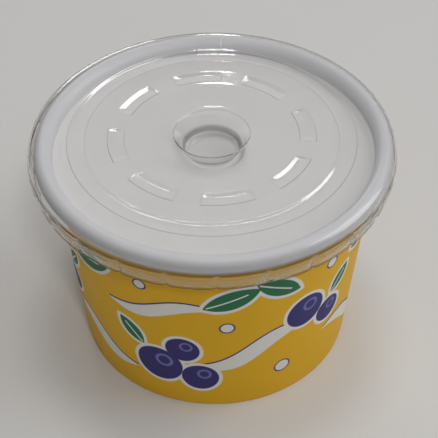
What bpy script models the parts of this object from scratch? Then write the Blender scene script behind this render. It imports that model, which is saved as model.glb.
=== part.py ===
"""Paper cup of set yogurt with a clear pressed-on lid, standing on its foot.

Metres, +Z up. The origin is the middle of the cup's foot, on the surface it stands on.
"""

import math

import bpy

MM = 0.001

# Paper cup: a cone of board, rolled outwards at the top and folded in at the foot.
FOOT_RADIUS = 35.5 * MM
FOOT_INNER_RADIUS = 34.2 * MM
FOOT_FOLD_HEIGHT = 5.0 * MM
BOARD = 0.6 * MM
WALL_TOP_RADIUS = 40.94 * MM
WALL_TOP_HEIGHT = 56.7 * MM
RIM_RADIUS = 45.0 * MM
RIM_HALF_WIDTH = 2.02 * MM
RIM_HALF_HEIGHT = 2.23 * MM
RIM_CENTRE_HEIGHT = 58.64 * MM

# Bottom disc: a separate round of board with a skirt turned down inside the foot.
DISC_UNDERSIDE = 5.3 * MM
SKIRT_LOWER_EDGE = 0.8 * MM

# Yogurt, filled almost to the rim and pressed in a little by the lid's dimple.
YOGURT_LEVEL = 56.8 * MM
MENISCUS_WIDTH = 1.6 * MM
MENISCUS_RISE = 0.5 * MM

# Lid: thin clear film over the rim, a little off centre as it was pushed on.
LID_FILM = 0.3 * MM
LID_SHIFT = -0.45 * MM
LID_TURN = math.radians(5)
DIMPLE_FLOOR = 56.3 * MM
DIMPLE_FLOOR_RADIUS = 5.4 * MM
DIMPLE_RADIUS = 9.6 * MM
DIMPLE_EDGE_HEIGHT = 62.55 * MM
PAD_COUNT = 8
PAD_RISE = 0.9 * MM
PAD_INNER_RADIUS = 22.3 * MM
PAD_OUTER_RADIUS = 24.9 * MM
PAD_SLOPE = 0.9 * MM
PAD_HALF_STEPS = 3
PLATE_HEIGHT_AT_PADS = 61.9 * MM
BEAD_RADIUS = 34.3 * MM
BEAD_HALF_WIDTH = 3.6 * MM
BEAD_RISE = 1.0 * MM
BEAD_FOOT_HEIGHT = 61.3 * MM
CROWN_RADIUS = 42.6 * MM
CROWN_HEIGHT = 61.5 * MM
LID_RADIUS_AT_RIM = 46.0 * MM
NECK_RADIUS = 45.6 * MM
NECK_HEIGHT = 57.1 * MM
LEDGE_RADIUS = 46.35 * MM
LEDGE_HEIGHT = 56.4 * MM
LID_EDGE_RADIUS = 45.0 * MM
LID_EDGE_HEIGHT = 52.9 * MM
PANEL_GROOVE = 0.5 * MM

GAP = 0.3 * MM
CUP_STEPS = 64
LID_STEPS = 96
GROOVE_EVERY = 4
MERGE = 0.00001


def clear_scene():
    for thing in list(bpy.data.objects):
        bpy.data.objects.remove(thing, do_unlink=True)


def material(name, color, roughness, alpha=1.0):
    made = bpy.data.materials.new(name)
    made.use_nodes = True
    shader = made.node_tree.nodes["Principled BSDF"]
    shader.inputs["Base Color"].default_value = (*color, 1.0)
    shader.inputs["Roughness"].default_value = roughness
    shader.inputs["Metallic"].default_value = 0.0
    shader.inputs["Alpha"].default_value = alpha
    made.diffuse_color = (*color, alpha)
    return made


def turned(name, profile, steps, finish, collection, closed=False):
    """A profile of (radius, height) points turned about Z by a Screw modifier."""
    count = len(profile)
    edges = [(i, i + 1) for i in range(count - 1)]
    if closed:
        edges.append((count - 1, 0))
    mesh = bpy.data.meshes.new(name)
    mesh.from_pydata([(radius, 0.0, height) for radius, height in profile], edges, [])
    mesh.materials.append(finish)
    thing = bpy.data.objects.new(name, mesh)
    collection.objects.link(thing)
    screw = thing.modifiers.new("Turn", "SCREW")
    screw.axis = "Z"
    screw.steps = steps
    screw.render_steps = steps
    screw.use_merge_vertices = True
    screw.merge_threshold = MERGE
    screw.use_smooth_shade = True
    return thing


def wall_radius(height):
    """The cup's outer radius, which grows evenly from the foot to the rim."""
    return FOOT_RADIUS + (WALL_TOP_RADIUS - FOOT_RADIUS) * height / WALL_TOP_HEIGHT


def bore_radius(height):
    """The cup's inner radius."""
    return wall_radius(height) - BOARD


def arc(centre, half_width, half_height, start, end, count):
    """Points on an ellipse about centre, from the start angle to the end angle in degrees."""
    points = []
    for i in range(count):
        angle = math.radians(start + (end - start) * i / (count - 1))
        points.append((centre[0] + half_width * math.cos(angle), centre[1] + half_height * math.sin(angle)))
    return points


def cup_wall(finish, collection):
    centre = (RIM_RADIUS - RIM_HALF_WIDTH, RIM_CENTRE_HEIGHT)
    inner_half_width = centre[0] - bore_radius(RIM_CENTRE_HEIGHT)
    profile = arc(centre, inner_half_width, RIM_HALF_HEIGHT, 180, 90, 4)
    profile += arc(centre, RIM_HALF_WIDTH, RIM_HALF_HEIGHT, 90, -135, 9)[1:]
    profile += [
        (WALL_TOP_RADIUS, WALL_TOP_HEIGHT),
        (FOOT_RADIUS, 0.0),
        (FOOT_INNER_RADIUS, 0.0),
        (FOOT_INNER_RADIUS, FOOT_FOLD_HEIGHT),
        (bore_radius(FOOT_FOLD_HEIGHT), FOOT_FOLD_HEIGHT),
    ]
    return turned("cup_wall", profile, CUP_STEPS, finish, collection, closed=True)


def cup_bottom(finish, collection):
    skirt_radius = FOOT_INNER_RADIUS - GAP
    edge_radius = bore_radius(DISC_UNDERSIDE) - GAP
    profile = [
        (0.0, DISC_UNDERSIDE + BOARD),
        (edge_radius, DISC_UNDERSIDE + BOARD),
        (edge_radius, DISC_UNDERSIDE),
        (skirt_radius, DISC_UNDERSIDE),
        (skirt_radius, SKIRT_LOWER_EDGE),
        (skirt_radius - BOARD, SKIRT_LOWER_EDGE),
        (skirt_radius - BOARD, DISC_UNDERSIDE),
        (0.0, DISC_UNDERSIDE),
    ]
    return turned("cup_bottom", profile, CUP_STEPS, finish, collection)


def yogurt(finish, collection):
    base = DISC_UNDERSIDE + BOARD + GAP
    edge_height = YOGURT_LEVEL + MENISCUS_RISE
    dent_floor = DIMPLE_FLOOR - LID_FILM - GAP
    dent_radius = DIMPLE_FLOOR_RADIUS + 2 * GAP - LID_SHIFT
    dent_slope = YOGURT_LEVEL - dent_floor
    profile = [
        (0.0, dent_floor),
        (dent_radius, dent_floor),
        (dent_radius + dent_slope, YOGURT_LEVEL),
        (bore_radius(YOGURT_LEVEL) - GAP - MENISCUS_WIDTH, YOGURT_LEVEL),
        (bore_radius(edge_height) - GAP, edge_height),
        (bore_radius(base) - GAP, base),
        (0.0, base),
    ]
    return turned("yogurt", profile, CUP_STEPS, finish, collection)


def lid_profile():
    """The film's outer face, from the middle of the dimple out to the skirt's edge."""
    dimple = [
        (0.0, DIMPLE_FLOOR),
        (DIMPLE_FLOOR_RADIUS, DIMPLE_FLOOR),
        (DIMPLE_FLOOR_RADIUS + 0.9 * MM, DIMPLE_FLOOR + 0.7 * MM),
        (DIMPLE_RADIUS - 0.6 * MM, DIMPLE_EDGE_HEIGHT - 1.0 * MM),
        (DIMPLE_RADIUS, DIMPLE_EDGE_HEIGHT),
        (DIMPLE_RADIUS + 1.0 * MM, DIMPLE_EDGE_HEIGHT + 0.1 * MM),
    ]
    pads = [
        (PAD_INNER_RADIUS - PAD_SLOPE, PLATE_HEIGHT_AT_PADS),
        (PAD_INNER_RADIUS, PLATE_HEIGHT_AT_PADS),
        (PAD_OUTER_RADIUS, PLATE_HEIGHT_AT_PADS),
        (PAD_OUTER_RADIUS + PAD_SLOPE, PLATE_HEIGHT_AT_PADS),
    ]
    bead = []
    for i in range(7):
        across = i / 3 - 1
        rise = BEAD_RISE * 0.5 * (1 + math.cos(math.pi * across))
        bead.append((BEAD_RADIUS + BEAD_HALF_WIDTH * across, BEAD_FOOT_HEIGHT + rise))
    shoulder_height = RIM_CENTRE_HEIGHT + 0.3 * MM
    over_rim = arc(
        (CROWN_RADIUS, shoulder_height),
        LID_RADIUS_AT_RIM - CROWN_RADIUS,
        CROWN_HEIGHT - shoulder_height,
        90,
        0,
        6,
    )
    skirt = [
        (NECK_RADIUS, NECK_HEIGHT),
        (LEDGE_RADIUS, LEDGE_HEIGHT),
        (LID_EDGE_RADIUS, LID_EDGE_HEIGHT),
    ]
    return dimple + pads + bead + over_rim + skirt


def press_lid_shapes(mesh):
    """Raises the pads and cuts the grooves between the skirt's panels in the turned film."""
    steps_per_pad = LID_STEPS // PAD_COUNT
    for vertex in mesh.vertices:
        x, y, z = vertex.co
        radius = math.hypot(x, y)
        step = round(math.atan2(y, x) / math.tau * LID_STEPS) % LID_STEPS
        from_pad = (step + steps_per_pad // 2) % steps_per_pad - steps_per_pad // 2
        in_pad_ring = PAD_INNER_RADIUS - MERGE < radius < PAD_OUTER_RADIUS + MERGE
        if in_pad_ring and abs(from_pad) <= PAD_HALF_STEPS:
            vertex.co.z = z + PAD_RISE
        if z < LEDGE_HEIGHT + MERGE and step % GROOVE_EVERY == GROOVE_EVERY - 1 and radius > DIMPLE_RADIUS:
            inwards = 1 - PANEL_GROOVE / radius
            vertex.co.x = x * inwards
            vertex.co.y = y * inwards


def lid(finish, collection):
    sheet = turned("lid_sheet", lid_profile(), LID_STEPS, finish, collection)
    graph = bpy.context.evaluated_depsgraph_get()
    mesh = bpy.data.meshes.new_from_object(sheet.evaluated_get(graph))
    bpy.data.objects.remove(sheet, do_unlink=True)
    mesh.name = "lid"
    press_lid_shapes(mesh)
    thing = bpy.data.objects.new("lid", mesh)
    collection.objects.link(thing)
    thing.location = (LID_SHIFT, 0.0, 0.0)
    thing.rotation_euler = (0.0, 0.0, LID_TURN)
    film = thing.modifiers.new("Film", "SOLIDIFY")
    film.thickness = LID_FILM
    film.offset = -1.0
    film.use_even_offset = True
    return thing


def build():
    clear_scene()
    collection = bpy.data.collections.new("paper_yogurt_cup")
    bpy.context.scene.collection.children.link(collection)
    printed = material("printed_board", (0.75, 0.45, 0.05), 0.4)
    plain = material("white_board", (0.85, 0.84, 0.80), 0.5)
    white = material("set_yogurt", (0.88, 0.87, 0.82), 0.3)
    clear = material("clear_film", (0.95, 0.97, 0.98), 0.08, alpha=0.3)
    cup_wall(printed, collection)
    cup_bottom(plain, collection)
    yogurt(white, collection)
    lid(clear, collection)


build()
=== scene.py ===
import math

import bmesh
import bpy
import numpy as np
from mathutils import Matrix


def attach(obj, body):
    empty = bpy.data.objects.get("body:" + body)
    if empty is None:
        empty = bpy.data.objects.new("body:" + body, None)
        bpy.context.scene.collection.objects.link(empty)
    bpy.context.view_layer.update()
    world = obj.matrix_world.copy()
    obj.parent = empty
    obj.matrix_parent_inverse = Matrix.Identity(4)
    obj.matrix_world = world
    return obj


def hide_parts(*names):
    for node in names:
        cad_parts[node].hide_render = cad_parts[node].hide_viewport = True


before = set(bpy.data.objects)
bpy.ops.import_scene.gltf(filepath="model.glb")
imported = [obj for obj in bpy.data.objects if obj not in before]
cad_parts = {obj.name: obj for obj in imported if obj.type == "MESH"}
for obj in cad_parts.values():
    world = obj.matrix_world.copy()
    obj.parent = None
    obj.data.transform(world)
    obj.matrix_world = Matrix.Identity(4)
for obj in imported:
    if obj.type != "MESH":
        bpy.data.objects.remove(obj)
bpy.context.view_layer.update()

# A paper cup of set yogurt under a clear formed lid. Shapes are worked out in millimetres and scaled on the
# way into the mesh. Angles run counterclockwise from +X, and the camera stands on the -Y side.
mm = 0.001
mmPerMetre = 1000.0


# Surfaces and curves

def addSurface(name, x, y, z, board=None, sharpAngle=None):
    # A grid of points in mm, with rows along the profile and columns round the cup, as one mesh of quads.
    # The outside is on the side of (step to the next row) x (step to the next column). Points that meet at a
    # seam or a pole are merged. board holds each point's place (u, v) on the flat printed board.
    rows, columns = x.shape
    points = np.stack([x, y, z], axis=-1).reshape(-1, 3) * mm
    corner = (np.arange(rows - 1)[:, None] * columns + np.arange(columns - 1)[None, :]).ravel()
    quads = np.stack([corner, corner + columns, corner + columns + 1, corner + 1], axis=-1)
    mesh = bpy.data.meshes.new(name)
    mesh.vertices.add(len(points))
    mesh.vertices.foreach_set("co", points.ravel())
    mesh.loops.add(quads.size)
    mesh.loops.foreach_set("vertex_index", quads.ravel())
    mesh.polygons.add(len(quads))
    mesh.polygons.foreach_set("loop_start", np.arange(len(quads)) * 4)
    mesh.polygons.foreach_set("use_smooth", np.ones(len(quads), dtype=bool))
    mesh.update(calc_edges=True)
    if board is not None:
        layer = mesh.uv_layers.new(name="board")
        places = np.stack(board, axis=-1).reshape(-1, 2)[quads.ravel()]
        layer.data.foreach_set("uv", places.ravel())
    merged = bmesh.new()
    merged.from_mesh(mesh)
    bmesh.ops.remove_doubles(merged, verts=merged.verts, dist=1e-7)
    merged.to_mesh(mesh)
    merged.free()
    if sharpAngle:
        mesh.set_sharp_from_angle(angle=math.radians(sharpAngle))
    piece = bpy.data.objects.new(name, mesh)
    bpy.context.collection.objects.link(piece)
    return piece


def ease(t):
    # 0 below 0, 1 above 1, and 3t^2 - 2t^3 between.
    t = np.clip(t, 0.0, 1.0)
    return t * t * (3 - 2 * t)


def bump(t):
    # 1 at t = 0, falling to 0 at t = -1 and t = 1 along half a cosine.
    return 0.5 + 0.5 * np.cos(np.pi * np.clip(t, -1.0, 1.0))


def arc(centre, halfWidth, halfHeight, start, end, count):
    # Points on an ellipse about centre, between two angles in degrees.
    angle = np.radians(np.linspace(start, end, count))
    return np.stack([centre[0] + halfWidth * np.cos(angle), centre[1] + halfHeight * np.sin(angle)], axis=-1)


def line(start, end, count):
    # Points on a straight run, both ends left out.
    t = np.linspace(0, 1, count + 2)[1:-1, None]
    return np.array(start) * (1 - t) + np.array(end) * t


def drift(angle, seed, waves):
    # A gentle unevenness round the cup: cosines of 2 and more waves a turn, each weaker than the last, with
    # phases drawn from the seed. It stays within about -1 and 1.
    phases = np.random.default_rng(seed).uniform(0, math.tau, waves)
    turns = np.arange(2, waves + 2)
    parts = np.cos(angle[..., None] * turns + phases) / turns
    return parts.sum(axis=-1)


def profileNormals(profile, closed):
    # The outward side of a profile: its direction of travel turned to the left of the page.
    if closed:
        step = np.roll(profile, -1, axis=0) - np.roll(profile, 1, axis=0)
    else:
        step = np.gradient(profile, axis=0)
    step /= np.maximum(np.hypot(step[:, 0], step[:, 1]), 1e-9)[:, None]
    return np.stack([-step[:, 1], step[:, 0]], axis=-1)


# Shader maths

class Wire:
    # One output socket of a material's nodes. The operators add Math nodes.
    def __init__(self, finish, socket):
        self.finish = finish
        self.socket = socket

    def math(self, operation, *others):
        return self.finish.node("ShaderNodeMath", {"operation": operation}, dict(enumerate((self, *others))))

    def sister(self, name):
        # Another output of the same node.
        return Wire(self.finish, self.socket.node.outputs[name])

    def __add__(self, other):
        return self.math("ADD", other)

    def __sub__(self, other):
        return self.math("SUBTRACT", other)

    def __mul__(self, other):
        return self.math("MULTIPLY", other)

    def __truediv__(self, other):
        return self.math("DIVIDE", other)

    def __rsub__(self, other):
        return self * -1.0 + other

    __radd__ = __add__
    __rmul__ = __mul__

    def __abs__(self):
        return self.math("ABSOLUTE")

    def least(self, other):
        return self.math("MINIMUM", other)

    def most(self, other):
        return self.math("MAXIMUM", other)

    def between(self, low, high):
        # 0 at low, 1 at high, eased and kept within 0 and 1.
        return self.finish.node(
            "ShaderNodeMapRange",
            {"interpolation_type": "SMOOTHSTEP"},
            {"Value": self, "From Min": low, "From Max": high},
        )


class Finish:
    # The nodes of a material, or of the world.
    def __init__(self, owner):
        self.owner = owner
        owner.use_nodes = True
        self.tree = owner.node_tree
        self.tree.nodes.clear()

    def node(self, kind, settings, inputs, output=0):
        made = self.tree.nodes.new(kind)
        for name, value in settings.items():
            setattr(made, name, value)
        for name, value in inputs.items():
            if isinstance(value, Wire):
                self.tree.links.new(value.socket, made.inputs[name])
            else:
                made.inputs[name].default_value = value
        return Wire(self, made.outputs[output]) if made.outputs else made

    def mix(self, share, first, second):
        # A colour that runs from first to second as share goes from 0 to 1.
        return self.node("ShaderNodeMix", {"data_type": "RGBA"}, {0: share, 6: first, 7: second}, output=2)

    def spread(self, source, scale, detail, roughness=0.5):
        # Noise of about -0.5 to 0.5 on the given coordinates.
        noise = self.node(
            "ShaderNodeTexNoise",
            {},
            {"Vector": source, "Scale": scale, "Detail": detail, "Roughness": roughness},
        )
        return noise - 0.5

    def surface(self, shader, output="ShaderNodeOutputMaterial"):
        self.node(output, {}, {"Surface": shader})
        return self.owner


def newFinish(name):
    return Finish(bpy.data.materials.new(name))


def solidPlace(finish):
    return finish.node("ShaderNodeTexCoord", {}, {}, output="Object")


# Camera

cameraPlan = {
    "aim": (0.0, 0.0, 29.35),  # mm
    "elevation": 42.893,  # degrees above the table
    "distance": 366.97,
    "sideways": 1.166,
    "upwards": 2.754,
    "roll": -0.459,
    "lens": 113.65,
}


def addCamera():
    plan = cameraPlan
    elevation = math.radians(plan["elevation"])
    right = np.array([1.0, 0.0, 0.0])
    up = np.array([0.0, math.sin(elevation), math.cos(elevation)])
    back = np.array([0.0, -math.cos(elevation), math.sin(elevation)])
    place = np.array(plan["aim"]) + right * plan["sideways"] + up * plan["upwards"] + back * plan["distance"]
    data = bpy.data.cameras.new("camera")
    data.lens = plan["lens"]
    data.sensor_width = 36.0
    data.clip_start = 0.01
    camera = bpy.data.objects.new("camera", data)
    bpy.context.collection.objects.link(camera)
    camera.location = place * mm
    camera.rotation_euler = (math.pi / 2 - elevation, 0.0, 0.0)
    camera.rotation_euler.rotate_axis("Z", math.radians(plan["roll"]))
    bpy.context.scene.camera = camera


# Light

lightPlan = {
    "dome": {"towards": (0.25, 0.0, 0.97), "least": 0.10, "most": 0.48},
    "rightWindow": {"towards": (0.80, 0.05, 0.60), "distance": 1.2, "size": (0.85, 0.85), "power": 4.2},
    "backWindow": {"towards": (-0.206, 0.900, 0.383), "distance": 1.4, "size": (0.31, 0.35), "power": 1.3},
    "backLamp": {"towards": (0.0, 0.82, 0.57), "distance": 1.5, "size": (0.06, 0.05), "power": 0.3},
    "ceiling": {"towards": (0.02, 0.12, 0.99), "distance": 1.3, "size": (0.3, 0.3), "power": 2.2},
    "front": {"towards": (0.12, -0.63, 0.77), "distance": 1.3, "size": (0.14, 0.14), "power": 3.0},
}
lampNames = ("rightWindow", "backWindow", "backLamp", "ceiling", "front")
hiddenLamps = ("ceiling", "front")  # they light the cup and give no highlights


def addLight(name):
    plan = lightPlan[name]
    towards = np.array(plan["towards"]) / np.linalg.norm(plan["towards"])
    data = bpy.data.lights.new(name, "AREA")
    data.shape = "RECTANGLE"
    data.size, data.size_y = plan["size"]
    data.energy = plan["power"]
    lamp = bpy.data.objects.new(name, data)
    bpy.context.collection.objects.link(lamp)
    lamp.location = towards * plan["distance"]
    isHidden = name in hiddenLamps
    lamp.visible_glossy = not isHidden
    lamp.visible_transmission = not isHidden  # or the film's inner face would show it
    elevation = math.asin(towards[2])
    lamp.rotation_euler = (math.pi / 2 - elevation, 0.0, math.atan2(towards[1], towards[0]) + math.pi / 2)


def addLights():
    # A soft dome, brightest overhead and a little to the right, and the lamps.
    dome = lightPlan["dome"]
    sky = Finish(bpy.data.worlds.new("studio"))
    towards = np.array(dome["towards"]) / np.linalg.norm(dome["towards"])
    ray = sky.node("ShaderNodeTexCoord", {}, {}, output="Generated")
    product = {"operation": "DOT_PRODUCT"}
    facing = sky.node("ShaderNodeVectorMath", product, {0: ray, 1: towards}, output="Value")
    height = facing.most(0.0)
    strength = height * height * (dome["most"] - dome["least"]) + dome["least"]
    glow = sky.node("ShaderNodeBackground", {}, {"Color": (1.0, 0.985, 0.985, 1), "Strength": strength})
    bpy.context.scene.world = sky.surface(glow, "ShaderNodeOutputWorld")
    for name in lampNames:
        addLight(name)
    bpy.context.scene.view_settings.view_transform = "Standard"


# Floor

def addFloor():
    half = 1500.0
    x, y = np.meshgrid([-half, half], [-half, half], indexing="ij")
    floor = addSurface("floor", x, y, np.zeros((2, 2)))
    finish = newFinish("paleFloor")
    grain = finish.spread(solidPlace(finish), 9.0, 3.0) + 0.5
    color = finish.mix(grain, (0.69, 0.685, 0.67, 1), (0.73, 0.725, 0.71, 1))
    shader = finish.node("ShaderNodeBsdfPrincipled", {}, {"Base Color": color, "Roughness": 0.7})
    floor.data.materials.append(finish.surface(shader))


# Paper cup

cupPlan = {
    "footRadius": 35.5,
    "footInnerRadius": 34.2,
    "foldHeight": 5.0,
    "board": 0.6,
    "wallTopRadius": 40.94,
    "wallTopHeight": 56.7,
    "rimRadius": 45.0,
    "rimHalfWidth": 2.02,
    "rimHalfHeight": 2.23,
    "rimCentreHeight": 58.64,
    "seam": 87.0,  # degrees, where the board overlaps itself
    "seamStrip": 9.5,  # degrees of double board
    "seamRise": 0.2,
    "unevenness": 0.07,
    "columns": 480,
}


def wallRadius(height):
    # The cup's outer radius grows evenly with the height.
    plan = cupPlan
    return plan["footRadius"] + (plan["wallTopRadius"] - plan["footRadius"]) * height / plan["wallTopHeight"]


def cupProfile():
    # The board's cut face, as one loop: up inside, over the rolled rim, down outside, and up inside the foot.
    # Returns the points and, for each, whether the printed side of the board faces out there.
    plan = cupPlan
    board = plan["board"]
    centre = (plan["rimRadius"] - plan["rimHalfWidth"], plan["rimCentreHeight"])
    boreAtRim = wallRadius(centre[1]) - board
    footMiddle = (plan["footRadius"] + plan["footInnerRadius"]) / 2
    footHalf = (plan["footRadius"] - plan["footInnerRadius"]) / 2
    footRound = 0.45
    fold = plan["foldHeight"]
    white = [
        line((wallRadius(fold) - board, fold), (boreAtRim, centre[1]), 26),
        arc(centre, centre[0] - boreAtRim, plan["rimHalfHeight"], 180, 90, 12),
        arc(centre, plan["rimHalfWidth"], plan["rimHalfHeight"], 90, -150, 40)[1:],
    ]
    printed = [
        line((wallRadius(56.9) + 0.05, 56.9), (wallRadius(footRound), footRound), 60),
        arc((footMiddle, footRound), footHalf, footRound, 0, -180, 12),
        line((plan["footInnerRadius"], footRound), (plan["footInnerRadius"], fold - 0.2), 10),
        np.array([[plan["footInnerRadius"] + 0.1, fold - 0.05], [plan["footInnerRadius"] + 0.3, fold]]),
    ]
    points = np.concatenate(white + printed)
    isPrinted = np.arange(len(points)) >= sum(len(part) for part in white)
    return points, isPrinted


def addCup():
    plan = cupPlan
    profile, isPrinted = cupProfile()
    normal = profileNormals(profile, closed=True)
    seam = math.radians(plan["seam"])
    strip = math.radians(plan["seamStrip"])
    even = np.linspace(0, math.tau, plan["columns"], endpoint=False)
    fine = np.concatenate([np.linspace(0, 0.012, 7), strip + np.linspace(-0.012, 0, 7)])
    turn = np.append(np.union1d(even, fine), math.tau)  # from the seam, counterclockwise
    angle = seam + turn
    # The outer layer ends in a cut edge at the seam and is pressed flat at the far side of the strip, and the
    # inner layer the other way round.
    outer = plan["seamRise"] * ease(turn / 0.008) * (1 - ease((turn - 0.5 * strip) / (0.5 * strip)))
    inner = plan["seamRise"] * ease(turn / (0.5 * strip)) * (1 - ease((turn - strip + 0.008) / 0.008))
    radius, height = profile[:, 0:1], profile[:, 1:2]
    across = normal[:, 0:1]
    isOuter = (across > 0) | (height > plan["rimCentreHeight"])
    push = np.where(isOuter, outer[None, :], inner[None, :])
    nearTop = ease(height / 10.0)
    wobble = plan["unevenness"] * drift(angle, 4, 5)[None, :] * nearTop
    foot = ease((height - 0.2) / 2.0)
    r = radius + across * push * foot + wobble
    z = height + normal[:, 1:2] * push * foot * (height > plan["rimCentreHeight"])
    u = turn[None, :] * (plan["footRadius"] + plan["wallTopRadius"]) / 2 + 0 * height
    v = np.where(radius < plan["footRadius"] - 0.7, -height, height) + 0 * turn[None, :]
    loop = np.append(np.arange(len(profile)), 0)
    r, z, u, v = r[loop], z[loop], u[loop], v[loop]
    cup = addSurface("paperCup", r * np.cos(angle), r * np.sin(angle), z, board=(u, v), sharpAngle=50)
    cup.data.materials.append(whiteBoard())
    cup.data.materials.append(printedBoard())
    columns = len(angle) - 1
    slots = np.repeat(isPrinted.astype(np.int32), columns)
    cup.data.polygons.foreach_set("material_index", slots)
    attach(cup, "root")
    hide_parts("cup_wall")
    print("paper cup:", len(cup.data.polygons), "faces")


def boardBump(finish, place, strength):
    # Paper fibres under a thin coat: two layers of fine noise.
    fibre = finish.spread(place, 900.0, 4.0) + finish.spread(place, 150.0, 2.0) * 1.5
    return finish.node("ShaderNodeBump", {}, {"Strength": strength, "Distance": 0.0002, "Height": fibre})


def whiteBoard():
    finish = newFinish("whiteBoard")
    place = solidPlace(finish)
    tone = finish.spread(place, 60.0, 4.0) + 0.5
    return finish.surface(finish.node(
        "ShaderNodeBsdfPrincipled",
        {},
        {
            "Base Color": finish.mix(tone, (0.74, 0.745, 0.765, 1), (0.80, 0.805, 0.82, 1)),
            "Roughness": tone * 0.1 + 0.3,
            "Normal": boardBump(finish, place, 0.12),
        },
    ))


printPlan = {
    "repeat": 80.0,  # mm round the cup after which the print begins again
    "yellow": (0.80, 0.46, 0.018, 1),
    "yellowDeep": (0.75, 0.42, 0.014, 1),
    "navy": (0.042, 0.036, 0.17, 1),
    "navyLight": (0.16, 0.17, 0.42, 1),
    "green": (0.025, 0.17, 0.08, 1),
    "pale": (0.78, 0.77, 0.73, 1),
    "outline": 1.0,  # mm of bare board round a navy or green shape
    "berries": [
        (27.0, 15.0, 6.4),  # u, v, radius
        (38.0, 12.0, 5.0),
        (33.6, 22.8, 4.5),
        (66.0, 31.0, 5.6),
        (74.4, 25.6, 4.2),
    ],
    "leaves": [
        (46.0, 43.0, 24.0, 15.0, 6.4),  # u, v, turn, length, width
        (57.5, 44.5, -28.0, 13.0, 5.6),
        (8.0, 43.5, 12.0, 14.0, 6.0),
        (19.8, 25.2, 130.0, 10.0, 4.8),
        (77.6, 34.8, 48.0, 9.0, 4.2),
    ],
    "ribbons": [
        (52.0, 22.0, 16.0, 17.0, 3.0, 2.4),  # u, v, turn, half length, half width, sway
        (7.0, 14.0, -14.0, 14.0, 2.6, -2.0),
        (28.0, 37.0, 8.0, 15.0, 2.3, 1.8),
    ],
    "drops": [(45.0, 32.5, 1.7), (60.5, 12.0, 2.1), (24.0, 45.0, 1.5), (73.0, 44.0, 1.6)],
}


def printedBoard():
    finish = newFinish("printedBoard")
    plan = printPlan
    flat = finish.node("ShaderNodeUVMap", {"uv_map": "board"}, {})
    along = finish.node("ShaderNodeSeparateXYZ", {}, {"Vector": flat})
    up = along.sister("Y")

    def offset(u, v):
        # The place on the board measured from (u, v), with u brought within half a repeat.
        half = plan["repeat"] / 2
        return (along - u).math("WRAP", half, -half), up - v

    def length(a, b):
        return (a * a + b * b).math("SQRT")

    def turned(a, b, degrees):
        c, s = math.cos(math.radians(degrees)), math.sin(math.radians(degrees))
        return a * c + b * s, b * c - a * s

    def joined(parts):
        whole = parts[0]
        for part in parts[1:]:
            whole = whole.least(part)
        return whole

    # Each shape is a distance in mm, below 0 inside it.
    berryParts = []
    crownParts = []
    for u, v, radius in plan["berries"]:
        a, b = offset(u, v)
        berryParts.append(length(a, b) - radius)
        crownParts.append(abs(length(a - 0.22 * radius, b - 0.3 * radius) - 0.32 * radius) - 0.07 * radius)
    leafParts = []
    veinParts = []
    for u, v, degrees, span, width in plan["leaves"]:
        a, b = turned(*offset(u, v), degrees)
        # Two equal circles overlap in a pointed leaf.
        below = (span * span - width * width) / (4 * width)
        leafParts.append(length(a, abs(b) + below) - (below + width / 2))
        veinParts.append((abs(b) - 0.22).most(abs(a + span * 0.08) - span * 0.36))
    ribbonParts = []
    edgeParts = []
    for u, v, degrees, half, width, sway in plan["ribbons"]:
        a, b = turned(*offset(u, v), degrees)
        reach = a / half
        middle = (reach * 3.0).math("SINE") * sway
        taper = (1 - reach * reach) * width
        ribbonParts.append(abs(b - middle) - taper)
        edgeParts.append((abs(b - middle - taper - 0.1) - 0.28).most(abs(a) - half * 0.96))
    for u, v, radius in plan["drops"]:
        a, b = offset(u, v)
        ribbonParts.append(length(a, b) - radius)
        edgeParts.append(abs(length(a, b) - radius - 0.1) - 0.22)

    berries = joined(berryParts)
    leaves = joined(leafParts)
    soft = 0.09  # mm over which the ink ends
    place = solidPlace(finish)
    shade = finish.spread(place, 45.0, 4.0, 0.6) + 0.5
    color = finish.mix(shade, plan["yellow"], plan["yellowDeep"])
    color = finish.mix(joined(ribbonParts).between(soft, -soft), color, plan["pale"])
    color = finish.mix(joined(edgeParts).between(soft, -soft), color, plan["navy"])
    border = joined([berries, leaves]) - plan["outline"]
    color = finish.mix(border.between(soft, -soft), color, plan["pale"])
    color = finish.mix(leaves.between(soft, -soft), color, plan["green"])
    color = finish.mix(joined(veinParts).between(soft, -soft), color, plan["pale"])
    color = finish.mix(berries.between(soft, -soft), color, plan["navy"])
    color = finish.mix(joined(crownParts).between(soft, -soft), color, plan["navyLight"])
    return finish.surface(finish.node(
        "ShaderNodeBsdfPrincipled",
        {},
        {
            "Base Color": color,
            "Roughness": shade * 0.12 + 0.42,
            "Specular IOR Level": 0.15,
            "Normal": boardBump(finish, place, 0.15),
        },
    ))


# Cup bottom

def finishCupBottom():
    # The round of board inside the foot keeps its solid.
    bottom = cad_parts["cup_bottom"]
    bottom.data.materials[0] = whiteBoard()


# Yogurt

yogurtPlan = {
    "base": 6.3,
    "level": 56.8,
    "reach": 0.2,  # mm that the edge goes into the board
    "meniscusWidth": 2.2,
    "meniscusRise": 0.55,
    "dentFloor": 55.7,
    "dentRadius": 6.45,
    "dentSlope": 1.6,
    "ripple": 0.02,
    "columns": 240,
}


def yogurtHeight(x, y, radius, edge):
    # The level, the rise along the wall, the dent under the lid's dimple and slow ripples.
    plan = yogurtPlan
    rise = plan["meniscusRise"] * ease((radius - edge + plan["meniscusWidth"]) / plan["meniscusWidth"]) ** 1.5
    dent = (plan["level"] - plan["dentFloor"]) * (1 - ease((radius - plan["dentRadius"]) / plan["dentSlope"]))
    ripple = np.sin(0.31 * x + 0.17 * y + 1.0) + np.sin(0.52 * y - 0.23 * x)
    ripple = ripple + 0.6 * np.sin(0.81 * x + 0.66 * y)
    calm = ease((edge - radius) / 4.0) * ease((radius - plan["dentRadius"]) / 4.0)
    return plan["level"] + rise - dent + plan["ripple"] * ripple * calm


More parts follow.
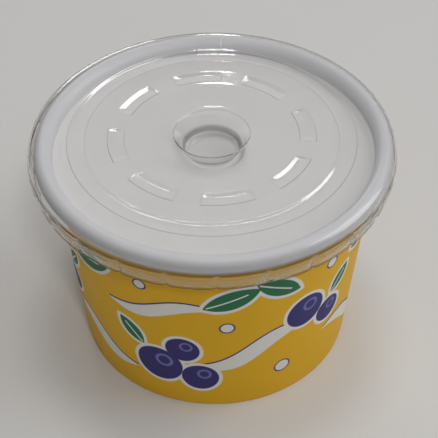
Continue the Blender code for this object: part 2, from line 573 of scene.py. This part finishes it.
def addYogurt():
    # Rows run from the middle of the top out to the wall, down it, and back to the middle of the base.
    plan = yogurtPlan
    angle = np.linspace(0, math.tau, plan["columns"] + 1)
    board = cupPlan["board"]
    edge = wallRadius(plan["level"] + plan["meniscusRise"]) - board + plan["reach"]
    foot = wallRadius(plan["base"]) - board - 0.1
    top = np.concatenate([
        np.linspace(0, 6.2, 12),
        np.linspace(6.45, 8.2, 10),
        np.linspace(8.8, edge - 3, 50),
        np.linspace(edge - 2.6, edge, 14),
    ])
    down = np.linspace(edge, foot, 12)[1:]
    radius = np.concatenate([top, down, [foot * 0.5, 0.0]])
    x, y = radius[:, None] * np.cos(angle), radius[:, None] * np.sin(angle)
    z = yogurtHeight(x, y, radius[:, None], edge)
    below = np.concatenate([np.linspace(1, 0, 12)[1:], [0.0, 0.0]])[:, None]
    z[len(top):] = plan["base"] + (plan["level"] + plan["meniscusRise"] - plan["base"]) * below
    yogurt = addSurface("yogurtFill", x, y, z, sharpAngle=60)
    yogurt.data.materials.append(setYogurt())
    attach(yogurt, "root")
    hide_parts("yogurt")
    print("yogurt:", len(yogurt.data.polygons), "faces")


def setYogurt():
    finish = newFinish("setYogurt")
    place = solidPlace(finish)
    curd = finish.spread(place, 260.0, 4.0) + finish.spread(place, 70.0, 2.0)
    relief = finish.node("ShaderNodeBump", {}, {"Strength": 0.25, "Distance": 0.0003, "Height": curd})
    return finish.surface(finish.node(
        "ShaderNodeBsdfPrincipled",
        {"subsurface_method": "RANDOM_WALK"},
        {
            "Base Color": finish.mix(curd + 0.5, (0.80, 0.785, 0.77, 1), (0.85, 0.835, 0.825, 1)),
            "Roughness": curd * 0.1 + 0.38,
            "Subsurface Weight": 0.15,
            "Subsurface Radius": (1.0, 0.9, 0.8),
            "Subsurface Scale": 0.0015,
            "Normal": relief,
        },
    ))


# Lid

lidPlan = {
    "film": 0.2,
    "shift": -0.45,
    "turn": 5.0,  # degrees
    "columns": 384,  # a whole number to each panel and pad
    "middle": [(0.0, 56.3), (5.88, 56.3), (9.6, 62.6), (10.5, 62.6), (21.0, 61.85), (26.5, 61.75)],
    "plate": [(31.5, 61.4), (37.9, 61.35), (43.4, 61.5)],
    "rounding": 0.35,  # mm over which the corners between straight runs are eased
    "padCount": 8,
    "padTurn": 3.75,  # degrees
    "padArch": [(21.9, 0.0), (23.6, 0.42), (24.1, 0.46), (26.1, 0.0)],
    "padHalfAngle": 15.0,  # degrees
    "padEndSlope": 1.6,
    "ringArch": [(31.8, 0.0), (32.9, 0.29), (34.0, 0.36), (35.1, 0.29), (36.2, 0.0)],
    "crease": 0.25,
    "crownRadius": 43.4,
    "crownHeight": 61.5,
    "rimRadius": 46.0,
    "shoulderHeight": 58.94,
    "shoulderPower": 2.1,
    "neck": (45.75, 58.2),
    "ledge": (46.3, 57.5),
    "skirtFoot": (45.15, 53.5),
    "lip": (45.35, 53.0),
    "lipFilm": 0.4,
    "panels": 24,
    "grooveAngle": 11.25,  # degrees from +X to a groove, in the lid's own turn
    "grooveHalf": 1.1,
    "grooveDepth": 0.5,
    "panelTop": 56.9,
    "panelFoot": 53.9,
    "panelMargin": 1.3,
    "panelRise": 0.3,
}


def easedRun(knots, rounding, radius):
    # Straight runs between (radius, height) knots, with their corners eased by a running average.
    knots = np.array(knots)
    step = 0.01
    fine = np.arange(-2.0, lidPlan["crownRadius"] + 2.0, step)
    plain = np.interp(np.abs(fine), knots[:, 0], knots[:, 1])
    window = np.hanning(int(2 * rounding / step) + 1)
    return np.interp(radius, fine, np.convolve(plain, window / window.sum(), mode="same"))


def padShare(radius, turn):
    # 1 along a pad's top and 0 between pads, with an eased slope at each end.
    plan = lidPlan
    spacing = math.tau / plan["padCount"]
    fromMiddle = np.abs((turn - math.radians(plan["padTurn"]) + spacing / 2) % spacing - spacing / 2)
    end = (math.radians(plan["padHalfAngle"]) - fromMiddle) * radius
    rise = np.clip(end / plan["padEndSlope"], 0, 1)
    return 2 * rise - rise * rise


def panelForm(turn, height):
    # How far the skirt stands out from its turned form, in mm: each panel is a low pillow with round corners,
    # and a groove parts it from the next.
    plan = lidPlan
    spacing = math.tau / plan["panels"]
    groove = math.radians(plan["grooveAngle"])
    radius = plan["ledge"][0]
    along = ((turn - groove) % spacing - spacing / 2) * radius
    fromGroove = spacing * radius / 2 - np.abs(along)
    middle = (plan["panelTop"] + plan["panelFoot"]) / 2
    inset = 0.8
    beyondX = np.maximum(np.abs(along) - (spacing * radius / 2 - plan["panelMargin"] - inset), 0)
    beyondY = np.maximum(np.abs(height - middle) - ((plan["panelTop"] - plan["panelFoot"]) / 2 - inset), 0)
    pillow = plan["panelRise"] * ease((inset - np.hypot(beyondX, beyondY)) / 0.5 + 0.5)
    reach = ease((plan["neck"][1] - height) / (plan["neck"][1] - plan["ledge"][1]))
    return pillow - plan["grooveDepth"] * bump(fromGroove / plan["grooveHalf"]) * reach


def lidGrid():
    # The film's outer face: rows of (radius, height) from the middle of the dimple to the skirt's lip.
    plan = lidPlan
    radius = np.concatenate([
        [0.0, 2.0, 4.0, 5.0],
        np.arange(5.2, 6.7, 0.2),
        [7.2, 8.0, 8.8],
        np.arange(9.2, 10.7, 0.18),
        [11.2, 13.0, 16.0, 19.0, 20.6, 21.3],
        np.arange(21.55, 22.3, 0.15),
        np.arange(22.6, 25.6, 0.3),
        np.arange(25.75, 26.6, 0.15),
        [27.2, 28.4, 29.6, 30.6, 31.2],
        np.arange(31.55, 33.5, 0.15),
        [33.8, 34.2],
        np.arange(34.55, 36.5, 0.15),
        [36.9, 37.6, 38.6, 40.0, 41.6, 42.8, plan["crownRadius"]],
    ])
    turn = np.linspace(0, math.tau, plan["columns"] + 1)
    r = np.broadcast_to(radius[:, None], (len(radius), len(turn)))
    z = easedRun(plan["middle"] + plan["plate"], plan["rounding"], radius)
    z = z + easedRun(plan["ringArch"], plan["crease"], radius)
    z = z[:, None] + easedRun(plan["padArch"], plan["crease"], radius)[:, None] * padShare(r, turn[None, :])
    # A rounded corner, a little squarer than an ellipse, leads over the rim.
    sweep = np.linspace(0, math.pi / 2, 15)[1:]
    power = 2 / plan["shoulderPower"]
    overRadius = plan["crownRadius"] + (plan["rimRadius"] - plan["crownRadius"]) * np.sin(sweep) ** power
    drop = np.cos(sweep).clip(0) ** power
    overHeight = plan["shoulderHeight"] + (plan["crownHeight"] - plan["shoulderHeight"]) * drop
    over = np.stack([overRadius, overHeight], axis=-1)
    neck, ledge, foot, lip = (np.array(plan[name]) for name in ("neck", "ledge", "skirtFoot", "lip"))
    skirt = np.concatenate([
        over,
        [neck * 0.9 + ledge * 0.1, neck * 0.5 + ledge * 0.5, ledge * 0.9 + neck * 0.1],
        [ledge * 0.95 + foot * 0.05],
        line(ledge, foot, 12),
        [foot, foot * 0.5 + lip * 0.5, lip],
    ])
    r = np.concatenate([r, skirt[:, 0:1] + panelForm(turn[None, :], skirt[:, 1:2])])
    z = np.concatenate([z, np.broadcast_to(skirt[:, 1:2], (len(skirt), len(turn)))])
    return r, z, turn


def addLid():
    # The inner face is the outer one moved in along its normals by the film's thickness.
    plan = lidPlan
    r, z, turn = lidGrid()
    angle = turn + math.radians(plan["turn"])
    wave = 0.03 * drift(angle, 9, 6) * ease((r - 12) / 8) * ease((46.5 - r) / 6)
    x = r * np.cos(angle) + plan["shift"]
    y = r * np.sin(angle)
    outer = np.stack([x, y, z + wave], axis=-1)
    alongRow = np.gradient(outer, axis=0)
    ring = outer[:, :-1]
    aroundRow = np.roll(ring, -1, axis=1) - np.roll(ring, 1, axis=1)
    aroundRow = np.concatenate([aroundRow, aroundRow[:, :1]], axis=1)
    normal = np.cross(alongRow, aroundRow)
    size = np.linalg.norm(normal, axis=-1, keepdims=True)
    normal = np.where(size > 1e-9, normal / np.maximum(size, 1e-9), (0.0, 0.0, 1.0))
    nearLip = ease((plan["skirtFoot"][1] + 0.3 - z) / 0.5)[..., None] * (r > 40)[..., None]
    inner = outer - normal * (plan["film"] + (plan["lipFilm"] - plan["film"]) * nearLip)
    whole = np.concatenate([outer, inner[::-1]])
    lid = addSurface("lidFilm", whole[..., 0], whole[..., 1], whole[..., 2], sharpAngle=60)
    lid.data.materials.append(clearFilm())
    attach(lid, "root")
    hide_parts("lid")
    print("lid:", len(lid.data.polygons), "faces")


def paintedCreaseShade(finish):
    # Painted shade: thin dark lines, from 0 to 1, painted into the film's colour where it is bent sharply, in
    # place of
    # the light that the creases bend away: the feet of the pads and of the ring, and the dimple's edge. They
    # are strong on the side where the crease turns to the front.
    plan = lidPlan
    place = finish.node("ShaderNodeSeparateXYZ", {}, {"Vector": solidPlace(finish)}, output="X")
    x = place * mmPerMetre - plan["shift"]
    y = place.sister("Y") * mmPerMetre
    radius = (x * x + y * y).math("SQRT")
    turn = y.math("ARCTAN2", x)
    back = y / radius.most(1.0)  # -1 at the front, 1 at the back
    half = math.pi / plan["padCount"]
    middle = math.radians(plan["padTurn"] + plan["turn"])
    fromPad = abs((turn - middle).math("WRAP", half, -half)) - math.radians(plan["padHalfAngle"])
    fromEnd = fromPad * radius  # mm beyond a pad's end
    inner, outer = plan["padArch"][0][0], plan["padArch"][-1][0]
    width = 0.16

    def lineAt(distance, facing):
        return abs(distance).between(width, 0.0) * facing

    front = back.between(0.55, -0.45)
    rear = back.between(-0.55, 0.45)
    onPad = fromEnd.between(0.1, -0.1)
    acrossPad = radius.between(inner - 0.1, inner + 0.1) * radius.between(outer + 0.1, outer - 0.1)
    lines = lineAt(radius - inner, (rear * 0.9 + 0.1) * onPad)
    lines = lines.most(lineAt(radius - outer, (front * 0.9 + 0.1) * onPad))
    lines = lines.most(lineAt(fromEnd, acrossPad * 0.25))
    lines = lines.most(lineAt(radius - plan["ringArch"][-1][0], front * 0.8 + 0.1))
    lines = lines.most(lineAt(radius - plan["ringArch"][0][0], rear * 0.4 + 0.1))
    return lines.most(lineAt(radius - plan["middle"][2][0], 0.5))


def paintedSkirtShade(height):
    # Painted shade on the skirt, from 0 to 1, that darkens what shows through it: most in the neck under the
    # rim, in place of the rim's shadow on the wall, and in the lip, in place of the lip's shadow; some in the
    # panels; and none along each panel's top and bottom edge, so these are left as lighter lines in place of
    # the light that the edges gather onto the wall.
    plan = lidPlan
    neck, ledge, foot = plan["neck"][1], plan["ledge"][1], plan["skirtFoot"][1]
    inNeck = height.between(ledge, ledge + 0.25) * height.between(neck + 1.2, neck + 0.2)
    inPanel = height.between(ledge - 0.35, ledge - 0.6) * height.between(foot + 0.4, foot + 0.65)
    inLip = height.between(foot, foot - 0.15)
    return inNeck * 0.9 + inPanel * 0.2 + inLip * 0.8


def clearFilm():
    # Clear film. Rays from lamps pass straight through it, apart from a part that its steep slopes bend away.
    # Its colour
    # carries painted shade: dark lines at the creases and dark bands in the skirt.
    finish = newFinish("clearFilm")
    place = solidPlace(finish)
    smear = finish.spread(place, 50.0, 4.0) + 0.5
    ripple = finish.spread(place, 330.0, 2.0)
    height = finish.node("ShaderNodeSeparateXYZ", {}, {"Vector": place}, output="Z") * mmPerMetre
    # Painted shade: the film's colour turns dark grey along the creases and in the skirt's neck, panels and
    # lip.
    shade = paintedCreaseShade(finish).most(paintedSkirtShade(height))
    relief = finish.node("ShaderNodeBump", {}, {"Strength": 0.5, "Distance": 0.00002, "Height": ripple})
    glass = finish.node(
        "ShaderNodeBsdfPrincipled",
        {},
        {
            "Base Color": finish.mix(shade, (0.975, 0.972, 0.975, 1), (0.50, 0.49, 0.48, 1)),
            "Roughness": smear * 0.04 + 0.02,
            "IOR": 1.5,
            "Transmission Weight": 1.0,
            "Normal": relief,
        },
    )
    clear = finish.node("ShaderNodeBsdfTransparent", {}, {"Color": (0.94, 0.94, 0.94, 1)})
    path = finish.node("ShaderNodeLightPath", {}, {}, output="Is Shadow Ray")
    bounced = path.sister("Is Diffuse Ray")
    geometry = finish.node("ShaderNodeNewGeometry", {}, {}, output="Normal")
    upward = finish.node("ShaderNodeSeparateXYZ", {}, {"Vector": geometry}, output="Z")
    slope = abs(upward).between(0.99, 0.80)
    atLip = height.between(lidPlan["skirtFoot"][1] + 0.3, lidPlan["skirtFoot"][1])
    straight = path.most(bounced) * (1 - slope * 0.25 - atLip * 0.6)
    return finish.surface(finish.node("ShaderNodeMixShader", {}, {0: straight, 1: glass, 2: clear}))


addCamera()
addLights()
addFloor()
addCup()
finishCupBottom()
addYogurt()
addLid()
print("built")
